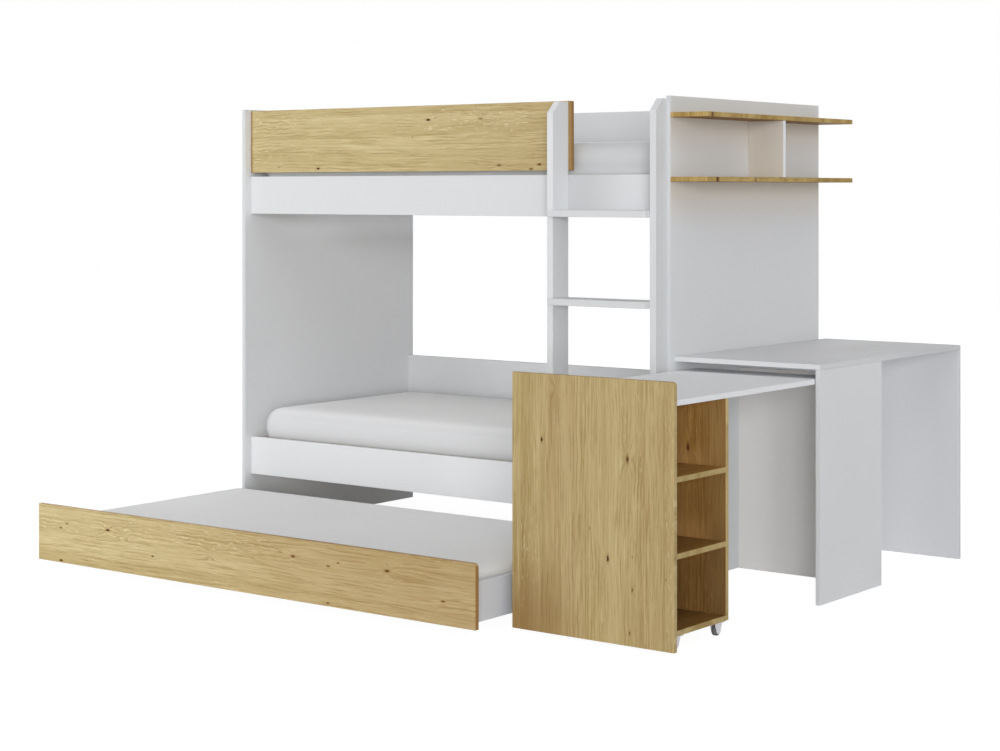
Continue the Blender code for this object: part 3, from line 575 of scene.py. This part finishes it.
def puffUp(piece, look):
    # cloth under light pressure, then the move of each point held to the cap
    remesh = piece.modifiers.new("remesh", "REMESH")
    remesh.mode, remesh.voxel_size, remesh.use_smooth_shade = "VOXEL", look["voxel"], True
    bpy.context.view_layer.update()
    start = finishedMesh(piece)
    piece.modifiers.clear()
    piece.data = start
    rest = readPoints(start)
    cloth = piece.modifiers.new("cover", "CLOTH")
    cloth.settings.use_pressure = True
    cloth.settings.uniform_pressure_force = look["pressure"]
    cloth.settings.tension_stiffness = cloth.settings.compression_stiffness = look["stiffness"]
    cloth.settings.effector_weights.gravity = 0
    cloth.point_cache.frame_start, cloth.point_cache.frame_end = 1, look["frames"]
    scene = bpy.context.scene
    for number in range(1, look["frames"] + 1):
        scene.frame_set(number)
    step = readPoints(finishedMesh(piece)) - rest
    piece.modifiers.clear()
    scene.frame_set(1)
    length = np.linalg.norm(step, axis=1, keepdims=True)
    step *= np.minimum(1, look["cap"] / np.maximum(length, 1e-9))
    start.vertices.foreach_set("co", (rest + step).ravel())
    start.shade_smooth()
    start.update()


def layMattress(piece, node, look):
    # moves the finished form onto its solid, flat underneath
    low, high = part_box(node)
    middle = (low + high) / 2
    points = readPoints(piece.data) + np.array([middle.x, middle.y, 0])
    points[:, 2] = np.maximum(points[:, 2] + low.z + look["thick"] / 2, low.z)
    points[:, 2] = np.minimum(points[:, 2], high.z + look["proud"])
    piece.data.vertices.foreach_set("co", points.ravel())
    piece.data.update()
    smooth = piece.modifiers.new("smooth", "SUBSURF")
    smooth.levels = smooth.render_levels = 1


coverWeave = {
    "thread": 1250.0, "threadShare": 0.08, "pale": tone(241, 242, 243), "shade": tone(234, 235, 237),
    "roughness": 0.80, "lintRoughness": 0.12, "sheen": 0.15,
    "reliefDepth": 0.0003, "reliefStrength": 0.6,
}


def coverPaint(name, top, look):
    # plain weave: two crossed sets of threads, sin(x) * sin(y + z), with slow uneven wear in the tone;
    # the sides take a painted shade that turns into the top over the soft edge; each zone is painted light, a
    # tint for one part of the cover
    paint = Paint(name)
    at = paint.axes()
    warp = paint.sum("SINE", at["x"] * coverWeave["thread"])
    weft = paint.sum("SINE", (at["y"] + at["z"]) * coverWeave["thread"])
    clouds = paint.evenNoise(at, 3.0, 3.0)
    lint = paint.evenNoise(at, 240.0, 3.0)
    colour = paint.mix(clouds, coverWeave["pale"], coverWeave["shade"])
    threadShare = coverWeave["threadShare"]
    colour = paint.mix(warp * weft * threadShare + threadShare, colour, coverWeave["shade"])
    start, full = look["paintedSideShadeFade"]
    sides = paint.step(at["z"], top - start, top - full)
    colour = paint.mix(sides, colour, paint.mix(1.0, colour, look["paintedSideShade"], "MULTIPLY"))
    for steps, zoneTint in look["zones"]:
        colour = paint.mix(paint.zone(at, steps), colour, paint.mix(1.0, colour, zoneTint, "MULTIPLY"))
    paint.set("Base Color", colour)
    paint.set("Roughness", coverWeave["roughness"] + lint * coverWeave["lintRoughness"])
    paint.set("Sheen Weight", coverWeave["sheen"])
    paint.relief(warp * weft * 0.5 + lint * 0.5, coverWeave["reliefDepth"], coverWeave["reliefStrength"])
    return paint


lowerBunkMattress = {
    "fullness": 0.005, "slack": 0.002, "edge": 0.052, "crown": 0.006, "unevenness": 0.0012,
    "cell": 0.018, "voxel": 0.013, "pressure": 4.0, "stiffness": 25.0, "frames": 20,
    "cap": 0.005, "thick": 0.146, "proud": 0.003,
    # the painted side shade's tint, and how far below the top it starts and is full; the zones are painted
    # light
    "paintedSideShade": grey(0.82), "paintedSideShadeFade": (0.006, 0.036),
    "zones": [([("y", 0.05, 0.50), ("z", 0.43, 0.46)], grey(1.14))],
}
# the upper mattress: a deeper painted side shade from the very top, and painted light low on its sides
upperBunkMattress = dict(lowerBunkMattress, paintedSideShade=(0.68, 0.685, 0.69, 1), paintedSideShadeFade=(-0.002, 0.006),
                         zones=[([("z", 1.390, 1.362)], grey(1.22))])
trundleMattress = dict(lowerBunkMattress, edge=0.030, thick=0.126, paintedSideShade=grey(0.87), zones=[])
simulated = {}


def mattress(name, node, body, look):
    # both bunk mattresses are one form, simulated once
    low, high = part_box(node)
    size = (high.x - low.x, high.y - low.y, look["thick"])
    key = (round(size[0], 3), look["edge"])
    if key in simulated:
        piece = bpy.data.objects.new(name, simulated[key].copy())
        bpy.context.scene.collection.objects.link(piece)
    else:
        piece = paddedBlock(name, size, look)
        puffUp(piece, look)
        simulated[key] = piece.data.copy()
    layMattress(piece, node, look)
    piece.data.materials.clear()
    piece.data.materials.append(coverPaint(name + "Cloth", high.z, look).material)
    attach(piece, body)
    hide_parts(node)
    print(name, "done")


mattress("lowerMattressCover", "lower_mattress", "bed_frame", lowerBunkMattress)
mattress("upperMattressCover", "upper_mattress", "bed_frame", upperBunkMattress)
mattress("trundleMattressCover", "trundle_mattress", "trundle", trundleMattress)


# castors

forkLook = {
    "pale": tone(226, 226, 231), "bright": tone(236, 236, 240), "grit": 700.0, "roughness": 0.32,
    "gritRoughness": 0.14, "reliefDepth": 0.00005, "reliefStrength": 0.4,
}
wheelShape = {
    "radius": 0.0165, "half": 0.007, "rim": 0.0100, "turns": 72, "shoulder": 0.003, "shoulderSteps": 6,
    "sharpAngle": 40,
    # from the bore out to the tread: how far inside the side face, radius
    "face": [(0.0004, 0.0033), (0.0004, 0.0052), (0.0009, 0.0056), (0.0022, 0.0060), (0.0022, 0.0082),
             (0.0012, 0.0088), (0.0005, 0.0094), (0.0005, 0.0101), (0.0010, 0.0104), (0.0, 0.0108)],
}
wheelLook = {
    "hub": tone(190, 190, 196), "hubScuffed": tone(174, 174, 180), "tread": tone(92, 92, 97),
    "treadScuffed": tone(112, 112, 117), "scuff": 300.0, "roughness": 0.40, "treadRoughness": 0.22,
    "scuffRoughness": 0.08, "reliefDepth": 0.0001, "reliefStrength": 0.4,
}


def forkPaint():
    paint = Paint("forkPlastic")
    grit = paint.evenNoise(paint.axes(), forkLook["grit"])
    paint.set("Base Color", paint.mix(grit, forkLook["bright"], forkLook["pale"]))
    paint.set("Roughness", forkLook["roughness"] + grit * forkLook["gritRoughness"])
    paint.relief(grit, forkLook["reliefDepth"], forkLook["reliefStrength"])
    return paint


def wheelPaint(name, middle):
    # grey soft tread outside the rim radius, pale hub inside it
    paint = Paint(name)
    at = paint.axes()
    up, out = at["z"] - middle.z, at["y"] - middle.y
    radius = (up * up + out * out) ** 0.5
    tread = paint.step(radius, wheelShape["rim"] + 0.0003, wheelShape["rim"] + 0.0007)
    scuff = paint.evenNoise(at, wheelLook["scuff"], 3.0)
    hub = paint.mix(scuff, wheelLook["hub"], wheelLook["hubScuffed"])
    rubber = paint.mix(scuff, wheelLook["tread"], wheelLook["treadScuffed"])
    paint.set("Base Color", paint.mix(tread, hub, rubber))
    paint.set("Roughness", wheelLook["roughness"] + tread * wheelLook["treadRoughness"]
              + scuff * wheelLook["scuffRoughness"])
    paint.relief(scuff, wheelLook["reliefDepth"], wheelLook["reliefStrength"])
    return paint


def turnedWheel(name, node, body):
    # profile (x, r) carried round the axle: point = (x, r sin t, r cos t), t from 0 to a full turn
    low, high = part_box(node)
    middle = (low + high) / 2
    half, radius, rounding = wheelShape["half"], wheelShape["radius"], wheelShape["shoulder"]
    corner = np.linspace(np.pi / 2, 0, wheelShape["shoulderSteps"])
    shoulder = np.stack([half - rounding * (1 - np.sin(corner)),
                         radius - rounding * (1 - np.cos(corner))], -1)
    face = np.array(wheelShape["face"]) * [-1, 1] + [half, 0]
    rightSide = np.concatenate([face, shoulder])
    profile = np.concatenate([rightSide, rightSide[::-1] * [-1, 1]])
    turn = np.linspace(0, 2 * np.pi, wheelShape["turns"], endpoint=False)[:, None]
    x, r = profile[:, 0][None, :], profile[:, 1][None, :]
    points = np.stack([middle.x + x + 0 * turn, middle.y + r * np.sin(turn), middle.z + r * np.cos(turn)], -1)
    rows, columns = points.shape[:2]
    index = np.arange(rows * columns).reshape(rows, columns)
    nextRow, nextColumn = np.roll(index, -1, 0), np.roll(index, -1, 1)
    faces = np.stack([index, nextRow, np.roll(nextRow, -1, 1), nextColumn], -1).reshape(-1, 4)
    piece = meshOf(name, points.reshape(-1, 3), faces)
    piece.data.set_sharp_from_angle(angle=math.radians(wheelShape["sharpAngle"]))
    piece.data.materials.append(wheelPaint(name + "Finish", middle).material)
    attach(piece, body)
    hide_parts(node)


forkPlastic = forkPaint()
for group in ("mobile", "trundle"):
    for end, hand in (("front", "left"), ("front", "right"), ("back", "left"), ("back", "right")):
        wheelNode = f"{group}_wheel_{end}_{hand}"
        forkPlastic.wear(f"{group}_castor_{end}_{hand}")
        turnedWheel(f"{group}Wheel{end.title()}{hand.title()}", wheelNode, wheelNode)
print("castors done")


# floor, light and camera

studio = {
    "ambient": 0.22, "floorShade": 0.15, "glow": 1.13, "floorTone": grey(0.95), "floorReach": 14.0,
    "floorDrop": 0.0005, "lens": 73.54, "sensor": 36.0, "camera": (4.3104, -5.7058, 1.3009),
    "turn": 37.194, "shiftY": -0.1844, "near": 0.1, "far": 60.0, "aim": (0, 0, 0.7),
}
lamps = {
    "frontFill": {"kind": "SUN", "place": (4.2, -5.6, 1.2), "spread": 20, "power": 1.6},
    "topFill": {"kind": "SUN", "place": (1.2, -2.6, 5.0), "spread": 60, "power": 1.0},
    "leftKey": {"kind": "AREA", "place": (-2.6, -3.6, 1.4), "spread": 2.0, "power": 17},
    "rightFill": {"kind": "SUN", "place": (5.0, -1.5, 1.2), "spread": 60, "power": 0.12},
    "backFill": {"kind": "SUN", "place": (-4.0, 5.0, 1.6), "spread": 60, "power": 1.1},
}


def makeFloor():
    reach = studio["floorReach"]
    corners = np.array([[-reach, -reach, 0], [reach, -reach, 0], [reach, reach, 0], [-reach, reach, 0]])
    floor = meshOf("studioFloor", corners - [0, 0, studio["floorDrop"]], np.array([[0, 1, 2, 3]]))
    paint = Paint("studioFloorPaint", 0.9)
    paint.set("Base Color", studio["floorTone"])
    paint.set("Specular IOR Level", 0.0)
    glow = paint.node("ShaderNodeEmission", {}, {"Color": grey(1), "Strength": studio["glow"]})
    mixed = paint.node("ShaderNodeMixShader", {}, {0: paint.raySeen() * (1 - studio["floorShade"]),
                                                   1: paint.surface.outputs[0], 2: glow.outputs[0]})
    paint.feed(paint.tree.nodes["Material Output"].inputs[0], mixed.outputs[0])
    floor.data.materials.append(paint.material)


def makeSky():
    # white where it is seen, weak where it only lights
    world = bpy.data.worlds.new("studioSky")
    bpy.context.scene.world = world
    world.use_nodes = True
    world.node_tree.nodes.clear()
    wiring = Wiring(world.node_tree)
    strength = wiring.raySeen() * (1 - studio["ambient"]) + studio["ambient"]
    sky = wiring.node("ShaderNodeBackground", {}, {"Color": grey(1), "Strength": strength})
    wiring.node("ShaderNodeOutputWorld", {}, {0: sky.outputs[0]})


def hangLamp(name, look):
    # spread is a sun's width in degrees, or the side of a square lamp in metres
    lamp = bpy.data.lights.new(name, look["kind"])
    lamp.energy = look["power"]
    if look["kind"] == "SUN":
        lamp.angle = math.radians(look["spread"])
    else:
        lamp.shape, lamp.size = "SQUARE", look["spread"]
    holder = bpy.data.objects.new(name, lamp)
    bpy.context.scene.collection.objects.link(holder)
    holder.location = look["place"]
    away = np.array(look["place"]) - np.array(studio["aim"])
    flat = math.hypot(away[0], away[1])
    holder.rotation_euler = (math.atan2(flat, away[2]), 0, math.atan2(away[0], -away[1]))
    holder.visible_camera = False


def setCamera():
    lens = bpy.data.cameras.new("camera")
    lens.lens, lens.sensor_width, lens.shift_y = studio["lens"], studio["sensor"], studio["shiftY"]
    lens.clip_start, lens.clip_end = studio["near"], studio["far"]
    holder = bpy.data.objects.new("camera", lens)
    bpy.context.scene.collection.objects.link(holder)
    holder.location = studio["camera"]
    holder.rotation_euler = (math.radians(90), 0, math.radians(studio["turn"]))
    bpy.context.scene.camera = holder


makeFloor()
makeSky()
for lampName, lampLook in lamps.items():
    hangLamp(lampName, lampLook)
setCamera()
bpy.context.scene.view_settings.view_transform = "Standard"
print("studio done")
